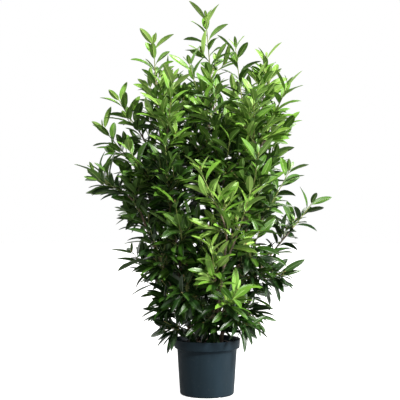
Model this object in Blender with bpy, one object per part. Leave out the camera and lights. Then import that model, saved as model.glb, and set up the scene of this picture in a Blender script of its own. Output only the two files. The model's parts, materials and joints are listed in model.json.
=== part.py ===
"""A narrow-leaved evergreen cherry laurel, about 1.55 m tall, growing in a round nursery pot.

The shrub has four stems that stand on the soil and boughs that leave them low down. Every limb carries
leafy masses, at its tip and along its sides. Metres, +Z up, with the origin under the middle of the pot.
"""

import math
import random
from collections import namedtuple

import bmesh
import bpy
from mathutils import Vector
from mathutils.bvhtree import BVHTree
from mathutils.kdtree import KDTree

# The pot
POT_HEIGHT = 0.219
RIM_RADIUS = 0.132
RIM_BAND_HEIGHT = 0.035
RIM_BAND_TAPER = 0.003
BODY_TOP_RADIUS = 0.1185
FOOT_RADIUS = 0.107
FOOT_ROUNDING = 0.008
WALL = 0.0025
POT_SIDES = 32
CENTRE_PAD_RADIUS = 0.030
FOOT_RING_WIDTH = 0.010
RECESS_HEIGHT = 0.004
FLOOR_THICKNESS = 0.003
DRAIN_HOLES = 4
DRAIN_HOLE_RADIUS = 0.006
DRAIN_NOTCHES = 4
NOTCH_WIDTH = 0.012

# The soil in it
SOIL_TOP = 0.203
SOIL_EDGE = 0.196
SOIL_FLAT_RADIUS = 0.072

# Clear space between two solids that meet, and the angle below which two faces count as one
GAP = 0.0003
FLAT_ANGLE = math.radians(2.5)

# Limbs
STEM_SIDES = 6
STEM_SEGMENTS = 8
FLARE_SHARE = 0.7
FLARE_HEIGHT = 0.014
STUB_LENGTH = 0.005
UP = Vector((0, 0, 1))

# The shoots of a mass
TWIG_SIDES = 3
LEADER_SEGMENTS = 3
TWIG_SEGMENTS = 2
LEADER_RADIUS = 0.0036
LEADER_FOOT = 0.012
TWIG_RADIUS = 0.0025
TIP_RADIUS = 0.0016
TWIG_CLEARANCE = 0.003
TWIG_TRIES = 6
FEWEST_LEAVES = 2
GOLDEN_ANGLE = math.radians(137.5)

# Leaves, at life size. The solids have fewer of them, a little larger.
LEAF_LENGTH = 0.108
LEAF_WIDTH = 0.030
LEAF_SPACING = 0.027
LEAF_GAIN = 1.28
WIDTH_GAIN = 1.45
LEAF_THICKNESS_SHARE = 0.016
LEAF_TRIES = 10
RANK_FREEDOM = 0.3
LEADER_LEAFY = 0.85
TWIG_LEAFY = 0.9
LEAF_CLEARANCE = 0.0012
ROOT_DEPTH_SHARE = 0.4
BLADE_START = 0.16
OUTLINE = ((0.30, 0.86), (0.68, 0.88))
RIB_SHARE = 0.5

# Leaves open wider with age, less so high in the crown, in degrees.
AGEING_LENGTH = 0.12
YOUNG_OPENING = 36
OLD_OPENING = 60
RISING = 0.40
FULLY_HIGH = 1.2

# High in the crown the leaves of young shoots lift. On level shoots leaves turn out to the sides.
LIFT = 0.65
OLD_DROP = 0.7
LEVELLING = 0.5

# Leaves low in the crown hang, but for those of young shoots, and hang less at each further try for room.
# They leave the pot's rim clear in front and behind.
HANGING_BELOW = 0.70
HANGING_FULLY = 0.35
HANGING_TONE = 0.65
EASING = 0.2
RIM_CLEAR = 0.228

# The space of a mass is what lies nearer to its main shoot than to any other's, with heights counted for less.
HEIGHT_WEIGHT = 0.75
SPACE_POINTS = 5

Limb = namedtuple("Limb", "name parent at start knee tip radius")
Mass = namedtuple("Mass", "name limb at tip spread twigs tone")

# A stem starts at a foot on the soil. A bough starts on its parent, at that share of the parent's length.
LIMBS = (
    Limb("stem_centre", None, 0, (0.022, 0.000), (0.075, -0.005, 0.66), (0.030, 0.015, 1.10), 0.0085),
    Limb("stem_left", None, 0, (-0.036, -0.004), (-0.085, 0.010, 0.62), (-0.215, 0.015, 0.94), 0.0080),
    Limb("stem_right", None, 0, (0.052, -0.020), (0.150, -0.020, 0.56), (0.205, -0.030, 0.96), 0.0080),
    Limb("stem_back", None, 0, (-0.006, 0.046), (-0.070, 0.120, 0.60), (-0.110, 0.160, 0.98), 0.0078),
    Limb("bough_left_tall", "stem_left", 0.10, None, (-0.150, -0.070, 0.70), (-0.190, -0.045, 1.08), 0.0060),
    Limb("bough_left_wide", "stem_left", 0.16, None, (-0.150, 0.060, 0.58), (-0.255, 0.055, 0.84), 0.0056),
    Limb("bough_left_mid", "stem_left", 0.05, None, (-0.175, -0.060, 0.50), (-0.260, -0.055, 0.72), 0.0058),
    Limb("bough_left_low", "stem_left", 0.02, None, (-0.120, 0.010, 0.34), (-0.195, 0.030, 0.44), 0.0050),
    Limb("bough_right_tall", "stem_centre", 0.08, None, (0.150, 0.070, 0.64), (0.215, 0.090, 1.06), 0.0062),
    Limb("bough_right_wide", "stem_right", 0.05, None, (0.170, 0.030, 0.44), (0.265, 0.040, 0.56), 0.0056),
    Limb("bough_front", "stem_centre", 0.04, None, (0.045, -0.185, 0.37), (0.070, -0.225, 0.60), 0.0056),
    Limb("bough_back_right", "stem_back", 0.06, None, (0.110, 0.150, 0.54), (0.130, 0.190, 0.90), 0.0060),
)

# A mass grows from its limb to its tip. Its spread is the length of its longest side twig.
# Its tone runs from 0, young and pale, to 1, old and dark.
MASSES = (
    Mass("mass_top", "stem_centre", 1.00, (-0.004, 0.010, 1.486), 0.08, 2, 0.20),
    Mass("mass_top_inner", "stem_centre", 0.86, (-0.070, -0.040, 1.300), 0.10, 3, 0.36),
    Mass("mass_top_right", "bough_right_tall", 0.80, (0.112, 0.010, 1.375), 0.10, 3, 0.20),
    Mass("mass_right_top", "bough_right_tall", 1.00, (0.240, 0.100, 1.345), 0.10, 3, 0.16),
    Mass("mass_right_crest", "bough_right_tall", 0.90, (0.312, -0.100, 1.210), 0.07, 2, 0.20),
    Mass("mass_left_top", "bough_left_tall", 1.00, (-0.210, -0.030, 1.385), 0.07, 2, 0.30),
    Mass("mass_left_front_top", "bough_left_tall", 0.80, (-0.130, -0.180, 1.215), 0.10, 3, 0.24),
    Mass("mass_front_top", "stem_centre", 0.76, (0.030, -0.180, 1.190), 0.12, 3, 0.44),
    Mass("mass_right_front_top", "stem_right", 0.86, (0.175, -0.190, 1.165), 0.12, 3, 0.26),
    Mass("mass_left_upper", "stem_left", 1.00, (-0.350, 0.015, 1.165), 0.07, 2, 0.50),
    Mass("mass_left_front", "stem_left", 0.72, (-0.300, -0.150, 0.960), 0.09, 3, 0.52),
    Mass("mass_left_heart", "bough_left_tall", 0.50, (-0.160, -0.200, 0.985), 0.13, 4, 0.72),
    Mass("mass_left_shoulder", "bough_left_wide", 1.00, (-0.418, 0.065, 1.060), 0.06, 2, 0.54),
    Mass("mass_left_back", "bough_left_wide", 0.66, (-0.270, 0.260, 0.860), 0.14, 4, 0.70),
    Mass("mass_left_reach", "bough_left_mid", 1.00, (-0.445, -0.040, 0.880), 0.09, 3, 0.66),
    Mass("mass_left_inner", "bough_left_mid", 0.66, (-0.300, -0.010, 0.800), 0.07, 2, 0.66),
    Mass("mass_left_mid", "bough_left_mid", 0.42, (-0.215, -0.190, 0.655), 0.08, 3, 0.76),
    Mass("mass_left_low", "bough_left_low", 1.00, (-0.300, 0.050, 0.560), 0.05, 2, 0.84),
    Mass("mass_left_foot", "bough_left_low", 0.42, (-0.165, -0.050, 0.365), 0.09, 3, 0.92),
    Mass("mass_left_skirt", "bough_left_low", 0.14, (-0.160, -0.100, 0.295), 0.08, 3, 0.98),
    Mass("mass_right_upper", "stem_right", 1.00, (0.315, -0.070, 1.060), 0.07, 3, 0.30),
    Mass("mass_right_shoulder", "bough_right_tall", 0.64, (0.290, 0.120, 1.020), 0.10, 3, 0.40),
    Mass("mass_right_front", "stem_right", 0.56, (0.190, -0.240, 0.935), 0.12, 4, 0.50),
    Mass("mass_right_mid", "stem_right", 0.50, (0.318, -0.090, 0.880), 0.06, 2, 0.42),
    Mass("mass_right_reach", "bough_right_wide", 1.00, (0.422, 0.060, 0.755), 0.06, 2, 0.70),
    Mass("mass_right_low", "bough_right_wide", 0.62, (0.300, -0.050, 0.485), 0.07, 2, 0.86),
    Mass("mass_right_foot", "bough_right_wide", 0.26, (0.175, 0.030, 0.325), 0.08, 3, 0.94),
    Mass("mass_right_skirt", "stem_right", 0.12, (0.148, -0.110, 0.290), 0.08, 3, 0.98),
    Mass("mass_heart", "stem_centre", 0.60, (0.085, -0.190, 1.000), 0.12, 4, 0.56),
    Mass("mass_centre_front", "bough_front", 1.00, (-0.026, -0.290, 0.880), 0.09, 3, 0.20),
    Mass("mass_front_right", "bough_front", 0.80, (0.160, -0.270, 0.800), 0.06, 2, 0.18),
    Mass("mass_front_low", "bough_front", 0.50, (0.014, -0.285, 0.600), 0.07, 2, 0.20),
    Mass("mass_front_foot", "bough_front", 0.26, (0.112, -0.230, 0.430), 0.05, 2, 0.30),
    Mass("mass_front_skirt", "stem_centre", 0.10, (-0.015, -0.150, 0.300), 0.08, 2, 0.94),
    Mass("mass_right_heart", "stem_right", 0.30, (0.195, -0.180, 0.640), 0.11, 3, 0.76),
    Mass("mass_front_left", "stem_left", 0.32, (-0.120, -0.270, 0.760), 0.12, 4, 0.62),
    Mass("mass_front_left_foot", "stem_left", 0.20, (-0.095, -0.230, 0.420), 0.11, 3, 0.86),
    Mass("mass_core", "stem_centre", 0.26, (-0.045, -0.170, 0.670), 0.11, 4, 0.82),
    Mass("mass_core_top", "stem_centre", 0.68, (-0.060, -0.080, 1.090), 0.14, 4, 0.70),
    Mass("mass_centre_back", "stem_centre", 0.58, (0.030, 0.310, 0.930), 0.15, 4, 0.56),
    Mass("mass_back_top", "stem_back", 1.00, (-0.120, 0.220, 1.235), 0.14, 4, 0.42),
    Mass("mass_back_left_low", "stem_back", 0.34, (-0.190, 0.270, 0.520), 0.14, 4, 0.84),
    Mass("mass_back_foot", "stem_back", 0.16, (-0.020, 0.230, 0.345), 0.12, 3, 0.94),
    Mass("mass_back_right_top", "bough_back_right", 1.00, (0.130, 0.250, 1.170), 0.14, 4, 0.38),
    Mass("mass_back_right", "bough_back_right", 0.66, (0.270, 0.280, 0.780), 0.15, 4, 0.58),
    Mass("mass_back_right_low", "bough_back_right", 0.34, (0.160, 0.270, 0.490), 0.14, 3, 0.84),
)

# Which way a shoot's first leaf points, in degrees round the shoot. Where none is given it points anywhere.
FIRST_TURNS = {
    "mass_top": 85,
    "mass_left_top": 120,
    "mass_top_inner": 310,
    "mass_right_crest": 275,
    "mass_left_upper": 285,
    "mass_left_shoulder": 250,
}


class Axis:
    """A limb, leader or twig: the points of its centre line, with its radius and its first side at each."""

    def __init__(self, points, radii, level_foot=False):
        self.points = points
        self.radii = radii
        steps = [(b - a).length for a, b in zip(points, points[1:])]
        self.length = sum(steps)
        self.shares = [sum(steps[:i]) / self.length for i in range(len(points))]
        self.directions = []
        self.sides = []
        for i in range(len(points)):
            direction = (points[min(i + 1, len(points) - 1)] - points[max(i - 1, 0)]).normalized()
            if i == 0 and level_foot:
                direction = UP.copy()
            side = self.sides[-1] if self.sides else across(direction)[0]
            self.directions.append(direction)
            self.sides.append((side - direction * side.dot(direction)).normalized())

    def at(self, share):
        """The point, direction, radius and first side at a share of the length."""
        i = max(k for k in range(len(self.points) - 1) if self.shares[k] <= share or k == 0)
        part = (share - self.shares[i]) / (self.shares[i + 1] - self.shares[i])
        along = (self.points[i + 1] - self.points[i]).normalized()
        side = self.sides[i].lerp(self.sides[i + 1], part)
        side = (side - along * side.dot(along)).normalized()
        radius = self.radii[i] + (self.radii[i + 1] - self.radii[i]) * part
        return self.points[i].lerp(self.points[i + 1], part), along, radius, side


def bezier(corners, share):
    """A point of the Bezier curve with these corners."""
    points = [Vector(c) for c in corners]
    while len(points) > 1:
        points = [a.lerp(b, share) for a, b in zip(points, points[1:])]
    return points[0]


def across(direction):
    """Two directions square to this one and to each other."""
    reference = UP if abs(direction.z) < 0.9 else Vector((0, 1, 0))
    first = direction.cross(reference).normalized()
    return first, direction.cross(first).normalized()


def tapered(start_radius, end_radius, count):
    return [start_radius + (end_radius - start_radius) * i / count for i in range(count + 1)]


def tube(axis, sides, grown=0.0):
    """Points and faces of a closed tube round an axis, with flat ends."""
    points, faces = [], []
    for centre, direction, first, radius in zip(axis.points, axis.directions, axis.sides, axis.radii):
        second = direction.cross(first)
        for k in range(sides):
            angle = 2 * math.pi * k / sides
            points.append(centre + (radius + grown) * (first * math.cos(angle) + second * math.sin(angle)))
    for i in range(len(axis.points) - 1):
        for k in range(sides):
            a, b = i * sides + k, i * sides + (k + 1) % sides
            faces += [(a, b, b + sides), (a, b + sides, a + sides)]
    last = (len(axis.points) - 1) * sides
    for k in range(1, sides - 1):
        faces += [(0, k + 1, k), (last, last + k, last + k + 1)]
    return points, faces


def leaving(parent, share, tip, radius):
    """Where and which way a shoot leaves its parent: the end of the parent's stub, and the direction."""
    point, along, parent_radius, _ = parent.at(share)
    if share == 1:
        return point, along, point
    heading = (Vector(tip) - point).normalized()
    outward = heading - along * heading.dot(along)
    if outward.length < 0.25:
        outward = outward.normalized() * 0.25
    direction = (along * 0.75 + outward).normalized()
    sine = direction.cross(along).length
    reach = (parent_radius + radius) / sine + STUB_LENGTH
    return point, direction, point + direction * reach


def grow_limb(limb, limbs):
    """The axis of a stem or bough, and its stub on the parent, if it has one."""
    tip = Vector(limb.tip)
    if limb.parent is None:
        foot = Vector((limb.start[0], limb.start[1], SOIL_TOP + GAP))
        corners = (foot, foot.lerp(Vector(limb.knee), 0.25) + UP * 0.04, limb.knee, tip)
        stub = None
    else:
        root, direction, end = leaving(limbs[limb.parent], limb.at, limb.knee, limb.radius)
        foot = end + direction * GAP
        corners = (foot, foot + direction * 0.09, limb.knee, tip)
        stub = Axis([root, end], [limb.radius, limb.radius])
    points = [bezier(corners, i / STEM_SEGMENTS) for i in range(STEM_SEGMENTS + 1)]
    radii = tapered(limb.radius, LEADER_RADIUS, STEM_SEGMENTS)
    if limb.parent is None:
        flared = points[0].lerp(points[1], FLARE_HEIGHT / (points[1] - points[0]).length)
        points.insert(1, flared)
        radii = [radii[0] * (1 + FLARE_SHARE), radii[0]] + radii[1:]
    return Axis(points, radii, level_foot=limb.parent is None), stub


def grow_leader(mass, limbs):
    """The axis of a mass's main shoot, and its stub on the limb, if it has one."""
    root, direction, end = leaving(limbs[mass.limb], mass.at, mass.tip, LEADER_RADIUS)
    start = end + direction * GAP
    tip = Vector(mass.tip)
    third = (tip - start).length / 3
    heading = ((tip - start).normalized() + UP * 0.15).normalized()
    corners = (start, start + direction * third, tip - heading * third, tip)
    points = [bezier(corners, i / LEADER_SEGMENTS) for i in range(LEADER_SEGMENTS + 1)]
    points.insert(1, start + direction * LEADER_FOOT)
    radii = tapered(LEADER_RADIUS, TIP_RADIUS, LEADER_SEGMENTS + 1)
    stub = None if mass.at == 1 else Axis([root, end], [LEADER_RADIUS, LEADER_RADIUS])
    return Axis(points, radii), stub


def turn_of(name, number, attempt):
    """A golden angle on from the last, and turned away again on each further try."""
    first = math.radians(FIRST_TURNS.get(name, random.Random(name).uniform(0, 360)))
    return GOLDEN_ANGLE * number + first + math.radians(35) * attempt * (-1) ** attempt


def grow_twig(mass, leader, number, attempt):
    """The axis of one side twig, turned a golden angle on from the last and curving up."""
    dice = random.Random(f"{mass.name} twig {number} {attempt}")
    share = 0.08 + 0.50 * (number + 0.5) / mass.twigs + dice.uniform(-0.04, 0.04)
    root, along, _, first = leader.at(share)
    second = along.cross(first)
    turn = turn_of(mass.name, number, attempt)
    outward = first * math.cos(turn) + second * math.sin(turn)
    opening = math.radians(dice.uniform(28, 48))
    direction = along * math.cos(opening) + outward * math.sin(opening)
    length = mass.spread * dice.uniform(0.75, 1.1) * (1.1 - 0.4 * share)
    rising = (direction + UP * 0.5).normalized()
    middle = root + direction * length * 0.5
    corners = (root, middle, middle + rising * length * 0.5)
    points = [bezier(corners, i / TWIG_SEGMENTS) for i in range(TWIG_SEGMENTS + 1)]
    return Axis(points, tapered(TWIG_RADIUS, TIP_RADIUS, TWIG_SEGMENTS))


Leaf = namedtuple("Leaf", "root direction normal length width bend")


def hanging(height, tone):
    """How much the leaves of a shoot of this tone hang at this height."""
    low = min(1.0, max(0.0, (HANGING_BELOW - height) / (HANGING_BELOW - HANGING_FULLY)))
    return low * min(1.0, tone / HANGING_TONE) ** 2


def ranked(turn):
    """The turn drawn towards the middle of the nearest side of the shoot."""
    side = 2 * math.pi / TWIG_SIDES
    nearest = (math.floor(turn / side) + 0.5) * side
    return nearest + (turn - nearest) * RANK_FREEDOM


def levelled(outward, level):
    """A leaf's way out from its shoot, turned to the sides where the shoot lies level."""
    return (outward - UP * outward.z * LEVELLING * level).normalized()


def grow_leaf(shoot_name, tone, axis, number, attempt):
    """One leaf of a shoot, counted from its tip. Leaves turn a golden angle from one to the next."""
    dice = random.Random(f"{shoot_name} leaf {number} {attempt}")
    share = 1 - (number + 0.12) * LEAF_SPACING / axis.length
    root, along, radius, first = axis.at(share)
    second = along.cross(first)
    turn = ranked(turn_of(shoot_name, number, attempt)) + math.radians(dice.uniform(-9, 9))
    level = 1 - abs(along.z)
    hang = hanging(root.z, tone) * (1 - EASING * attempt)
    outward = levelled(first * math.cos(turn) + second * math.sin(turn), level)
    age = min(1.0, number * LEAF_SPACING / AGEING_LENGTH)
    high = min(1.0, root.z / FULLY_HIGH)
    open_now = YOUNG_OPENING + (OLD_OPENING - YOUNG_OPENING) * age * (1 - RISING * high)
    opening = math.radians(open_now + dice.uniform(-8, 8))
    direction = along * math.cos(opening) + outward * math.sin(opening)
    facing = along * math.sin(opening) - outward * math.cos(opening)
    lift = LIFT * (1 - OLD_DROP * tone) * high * (1 - hang) * (1 - direction.z)
    direction = (direction + UP * (lift - hang * (0.3 + 0.7 * age))).normalized()
    facing += UP * (0.5 + level)
    side = direction.cross(facing).normalized()
    normal = side.cross(direction).normalized()
    roll = math.radians(dice.gauss(0, 22 - 12 * hang))
    normal = normal * math.cos(roll) + side * math.sin(roll)
    size = (0.78 if number == 0 else 1.0) * dice.uniform(0.86, 1.1)
    bend = math.radians(10 + 24 * age + dice.uniform(-4, 14))
    root = root - direction * radius * ROOT_DEPTH_SHARE
    return Leaf(root, direction, normal, LEAF_LENGTH * size, LEAF_WIDTH * size * dice.uniform(0.9, 1.1), bend)


def along_leaf(leaf, share, length):
    """The point of the midrib at a share of its length, and the normal there."""
    turned = leaf.bend * share
    run = length / leaf.bend
    point = leaf.root + leaf.direction * run * math.sin(turned) - leaf.normal * run * (1 - math.cos(turned))
    normal = leaf.normal * math.cos(turned) + leaf.direction * math.sin(turned)
    return point, normal


def covers_rim(leaf):
    """True if a leaf hangs over the pot's rim in front or behind. It may hang inside the rim or beside it."""
    tip, _ = along_leaf(leaf, 1.0, leaf.length * LEAF_GAIN)
    return tip.z < RIM_CLEAR and abs(tip.x) < RIM_RADIUS < math.hypot(tip.x, tip.y)


def leaf_solid(leaf, start=0.0, grown=0.0):
    """Points and faces of a leaf: a root, two wide places with the rib below between them, and a tip.

    A start above 0 leaves out the leaf's foot, and grown makes the rest that much larger all round.
    """
    length = leaf.length * LEAF_GAIN
    first, last = OUTLINE[0][0], OUTLINE[-1][0]
    sag = length * leaf.bend * (last - first) ** 2 / 8
    depth = length * LEAF_THICKNESS_SHARE + sag
    side = leaf.direction.cross(leaf.normal)
    points = [along_leaf(leaf, start, length)[0]]
    for share, wide in OUTLINE:
        middle, up = along_leaf(leaf, share, length)
        half = leaf.width * WIDTH_GAIN * wide / 2 + grown
        points += [middle + up * grown - side * half, middle + up * grown + side * half]
    rib, up = along_leaf(leaf, RIB_SHARE, length)
    points.append(rib - up * (depth + grown))
    points.append(along_leaf(leaf, 1.0, length + grown)[0])
    faces = [
        (0, 2, 1),
        (1, 2, 4),
        (1, 4, 3),
        (3, 4, 6),
        (0, 1, 5),
        (0, 5, 2),
        (1, 3, 5),
        (2, 5, 4),
        (3, 6, 5),
        (4, 5, 6),
    ]
    return points, faces


class Spaces:
    """The share of the crown that each mass keeps to."""

    def __init__(self, leaders):
        self.owners = []
        self.tree = KDTree(SPACE_POINTS * len(leaders))
        for name, axis in leaders.items():
            for i in range(SPACE_POINTS):
                self.tree.insert(self.weighed(axis.at((i + 1) / SPACE_POINTS)[0]), len(self.owners))
                self.owners.append(name)
        self.tree.balance()

    def weighed(self, point):
        return Vector((point.x, point.y, point.z * HEIGHT_WEIGHT))

    def hold(self, name, points):
        """True if every point is nearer to this mass's main shoot than to any other's."""
        return all(self.owners[self.tree.find(self.weighed(point))[1]] == name for point in points)


class Obstacles:
    """Surfaces that a twig or leaf may not touch."""

    def __init__(self):
        self.found = []

    def add(self, points, faces, owner=None):
        low = [min(p[i] for p in points) for i in range(3)]
        high = [max(p[i] for p in points) for i in range(3)]
        self.found.append((low, high, BVHTree.FromPolygons(points, faces), owner))

    def touched(self, points, faces, leave_out=()):
        low = [min(p[i] for p in points) for i in range(3)]
        high = [max(p[i] for p in points) for i in range(3)]
        tree = BVHTree.FromPolygons(points, faces)
        for other_low, other_high, other, owner in self.found:
            if owner is not None and owner in leave_out:
                continue
            if all(low[i] < other_high[i] and other_low[i] < high[i] for i in range(3)) and tree.overlap(other):
                return True
        return False


def material(name, colour, roughness):
    made = bpy.data.materials.new(name)
    made.use_nodes = True
    shader = made.node_tree.nodes["Principled BSDF"]
    shader.inputs["Base Color"].default_value = (*colour, 1)
    shader.inputs["Roughness"].default_value = roughness
    shader.inputs["Metallic"].default_value = 0
    made.diffuse_color = (*colour, 1)
    return made


def solid(name, points, faces, surface=None, collection=None):
    mesh = bpy.data.meshes.new(name)
    mesh.from_pydata([tuple(p) for p in points], [], faces)
    mesh.update()
    made = bpy.data.objects.new(name, mesh)
    if surface:
        mesh.materials.append(surface)
    (collection or bpy.context.scene.collection).objects.link(made)
    return made


def fuse(base, pieces, surface):
    """Joins solids to the base by one Boolean union on their collection, and drops any loose scrap."""
    others = bpy.data.collections.new("others")
    bpy.context.scene.collection.children.link(others)
    for i, (points, faces) in enumerate(pieces):
        solid(f"other_{i}", points, faces, surface, others)
    union = base.modifiers.new("union", "BOOLEAN")
    union.operation = "UNION"
    union.operand_type = "COLLECTION"
    union.collection = others
    union.solver = "EXACT"
    bpy.context.view_layer.update()
    whole = bpy.data.meshes.new_from_object(base.evaluated_get(bpy.context.evaluated_depsgraph_get()))
    base.modifiers.clear()
    base.data = whole
    tidy(whole)
    for other in list(others.objects):
        bpy.data.objects.remove(other)
    bpy.data.collections.remove(others)


def tidy(mesh):
    """Joins faces that are all but level with each other, and leaves only the largest connected piece."""
    work = bmesh.new()
    work.from_mesh(mesh)
    bmesh.ops.dissolve_limit(work, verts=work.verts, edges=work.edges, angle_limit=FLAT_ANGLE)
    bmesh.ops.triangulate(work, faces=work.faces)
    left, pieces = set(work.faces), []
    while left:
        piece, open_faces = set(), [left.pop()]
        while open_faces:
            face = open_faces.pop()
            piece.add(face)
            near = {f for e in face.edges if len(e.link_faces) == 2 for f in e.link_faces} & left
            left -= near
            open_faces += near
        pieces.append(piece)
    pieces.sort(key=len, reverse=True)
    bmesh.ops.delete(work, geom=[f for piece in pieces[1:] for f in piece], context="FACES")
    work.to_mesh(mesh)
    work.free()


def turned(name, profile, surface):
    """A solid of revolution about Z from a profile of (radius, height) that starts and ends on the axis."""
    work = bmesh.new()
    verts = [work.verts.new((radius, 0, height)) for radius, height in profile]
    edges = [work.edges.new(pair) for pair in zip(verts, verts[1:])]
    bmesh.ops.spin(
        work,
        geom=verts + edges,
        cent=(0, 0, 0),
        axis=(0, 0, 1),
        angle=2 * math.pi,
        steps=POT_SIDES,
        use_merge=True,
    )
    bmesh.ops.remove_doubles(work, verts=work.verts, dist=1e-6)
    bmesh.ops.recalc_face_normals(work, faces=work.faces)
    bmesh.ops.triangulate(work, faces=work.faces)
    mesh = bpy.data.meshes.new(name)
    work.to_mesh(mesh)
    work.free()
    mesh.shade_smooth()
    mesh.set_sharp_from_angle(angle=math.radians(30))
    mesh.materials.append(surface)
    made = bpy.data.objects.new(name, mesh)
    bpy.context.scene.collection.objects.link(made)
    return made


def body_radius(height):
    """The outer radius of the pot's body at a height."""
    share = (height - FOOT_ROUNDING) / (POT_HEIGHT - RIM_BAND_HEIGHT - FOOT_ROUNDING)
    return FOOT_RADIUS + (BODY_TOP_RADIUS - FOOT_RADIUS) * share


def pot_profile():
    """The pot's cross-section, from the middle of its underside round the rim to the middle of its floor."""
    ring = FOOT_RADIUS - FOOT_ROUNDING
    band_foot = POT_HEIGHT - RIM_BAND_HEIGHT
    floor = RECESS_HEIGHT + FLOOR_THICKNESS
    corner = [
        (ring + FOOT_ROUNDING * math.sin(a), FOOT_ROUNDING * (1 - math.cos(a)))
        for a in (math.radians(30), math.radians(60))
    ]
    inner_top = BODY_TOP_RADIUS - WALL
    return [
        (0, 0),
        (CENTRE_PAD_RADIUS, 0),
        (CENTRE_PAD_RADIUS + RECESS_HEIGHT, RECESS_HEIGHT),
        (ring - FOOT_RING_WIDTH - RECESS_HEIGHT, RECESS_HEIGHT),
        (ring - FOOT_RING_WIDTH, 0),
        (ring, 0),
        *corner,
        (FOOT_RADIUS, FOOT_ROUNDING),
        (BODY_TOP_RADIUS, band_foot - 0.002),
        (RIM_RADIUS - RIM_BAND_TAPER, band_foot),
        (RIM_RADIUS, POT_HEIGHT - 0.002),
        (RIM_RADIUS - 0.001, POT_HEIGHT),
        (RIM_RADIUS - WALL, POT_HEIGHT),
        (RIM_RADIUS - RIM_BAND_TAPER - WALL, band_foot + WALL),
        (inner_top, band_foot + WALL - 0.001),
        (body_radius(floor + FOOT_ROUNDING) - WALL, floor + FOOT_ROUNDING),
        (ring, floor),
        (0, floor),
    ]


def soil_profile():
    """The soil's cross-section, clear of the pot's inside by the gap."""
    ring = FOOT_RADIUS - FOOT_ROUNDING
    band_foot = POT_HEIGHT - RIM_BAND_HEIGHT
    floor = RECESS_HEIGHT + FLOOR_THICKNESS
    inset = WALL + 2 * GAP
    slope = (SOIL_EDGE - band_foot - WALL) / (RIM_BAND_HEIGHT - WALL)
    return [
        (0, floor + GAP),
        (ring - GAP, floor + GAP),
        (body_radius(floor + FOOT_ROUNDING) - inset, floor + FOOT_ROUNDING + GAP),
        (BODY_TOP_RADIUS - inset, band_foot + WALL + GAP),
        (RIM_RADIUS - RIM_BAND_TAPER - inset - 0.001, band_foot + WALL + GAP),
        (RIM_RADIUS - RIM_BAND_TAPER * (1 - slope) - inset - 0.001, SOIL_EDGE),
        (SOIL_FLAT_RADIUS, SOIL_TOP),
        (0, SOIL_TOP),
    ]


def cut(target, cutter):
    """Takes the cutter out of the target. The cutter stays as a hidden helper."""
    cutter.hide_render = True
    cutter.display_type = "WIRE"
    hole = target.modifiers.new(cutter.name, "BOOLEAN")
    hole.operation = "DIFFERENCE"
    hole.object = cutter
    hole.solver = "EXACT"


def make_pot(surface):
    pot = turned("pot", pot_profile(), surface)
    hole_ring = (CENTRE_PAD_RADIUS + FOOT_RADIUS - FOOT_ROUNDING - FOOT_RING_WIDTH) / 2
    for i in range(DRAIN_HOLES):
        angle = 2 * math.pi * (i + 0.5) / DRAIN_HOLES
        bpy.ops.mesh.primitive_cylinder_add(
            vertices=8,
            radius=DRAIN_HOLE_RADIUS,
            depth=0.03,
            location=(hole_ring * math.cos(angle), hole_ring * math.sin(angle), 0.006),
        )
        bpy.context.object.name = f"drain_hole_cutter_{i}"
        cut(pot, bpy.context.object)
    for i in range(DRAIN_NOTCHES):
        angle = 2 * math.pi * (i + 0.32) / DRAIN_NOTCHES
        reach = FOOT_RADIUS - FOOT_RING_WIDTH / 2
        bpy.ops.mesh.primitive_cube_add(
            size=1,
            location=(reach * math.cos(angle), reach * math.sin(angle), 0),
            rotation=(0, 0, angle),
            scale=(0.036, NOTCH_WIDTH, 2 * RECESS_HEIGHT - 0.001),
        )
        bpy.context.object.name = f"drain_notch_cutter_{i}"
        cut(pot, bpy.context.object)
    return pot


def make_limbs(surface):
    """The stems and boughs, with the stubs that their boughs and masses start from."""
    axes, stubs = {}, {}
    for limb in LIMBS:
        axes[limb.name], stub = grow_limb(limb, axes)
        if stub:
            stubs.setdefault(limb.parent, []).append(stub)
    leaders = {}
    for mass in MASSES:
        leaders[mass.name], stub = grow_leader(mass, axes)
        if stub:
            stubs.setdefault(mass.limb, []).append(stub)
    for limb in LIMBS:
        made = solid(limb.name, *tube(axes[limb.name], STEM_SIDES), surface)
        fuse(made, [tube(stub, TWIG_SIDES) for stub in stubs.get(limb.name, [])], surface)
    return axes, leaders, stubs


def grow_twigs(leaders, spaces, obstacles):
    """The side twigs of each mass that stay in its space and clear of every limb and other shoot."""
    twigs = {}
    for mass in MASSES:
        twigs[mass.name] = []
        for number in range(mass.twigs):
            for attempt in range(TWIG_TRIES):
                twig = grow_twig(mass, leaders[mass.name], number, attempt)
                apart = not obstacles.touched(*tube(twig, TWIG_SIDES, TWIG_CLEARANCE), leave_out=(mass.name,))
                if apart and spaces.hold(mass.name, twig.points):
                    twigs[mass.name].append((f"{mass.name} {number}", twig))
                    obstacles.add(*tube(twig, TWIG_SIDES), owner=mass.name)
                    break
    return twigs


def grow_leaves(mass, shoot_name, axis, leafy, spaces, obstacles):
    """The leaf solids of a shoot, from its tip inwards, leaving out any that would touch something."""
    kept = []
    for number in range(int(axis.length * leafy / LEAF_SPACING)):
        for attempt in range(LEAF_TRIES):
            leaf = grow_leaf(shoot_name, mass.tone, axis, number, attempt)
            blade = leaf_solid(leaf, start=BLADE_START, grown=LEAF_CLEARANCE)
            free = spaces.hold(mass.name, blade[0]) and not obstacles.touched(*blade)
            if free and not covers_rim(leaf):
                kept.append(leaf_solid(leaf))
                obstacles.add(*leaf_solid(leaf, start=BLADE_START), owner=mass.name)
                break
    return kept


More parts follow.
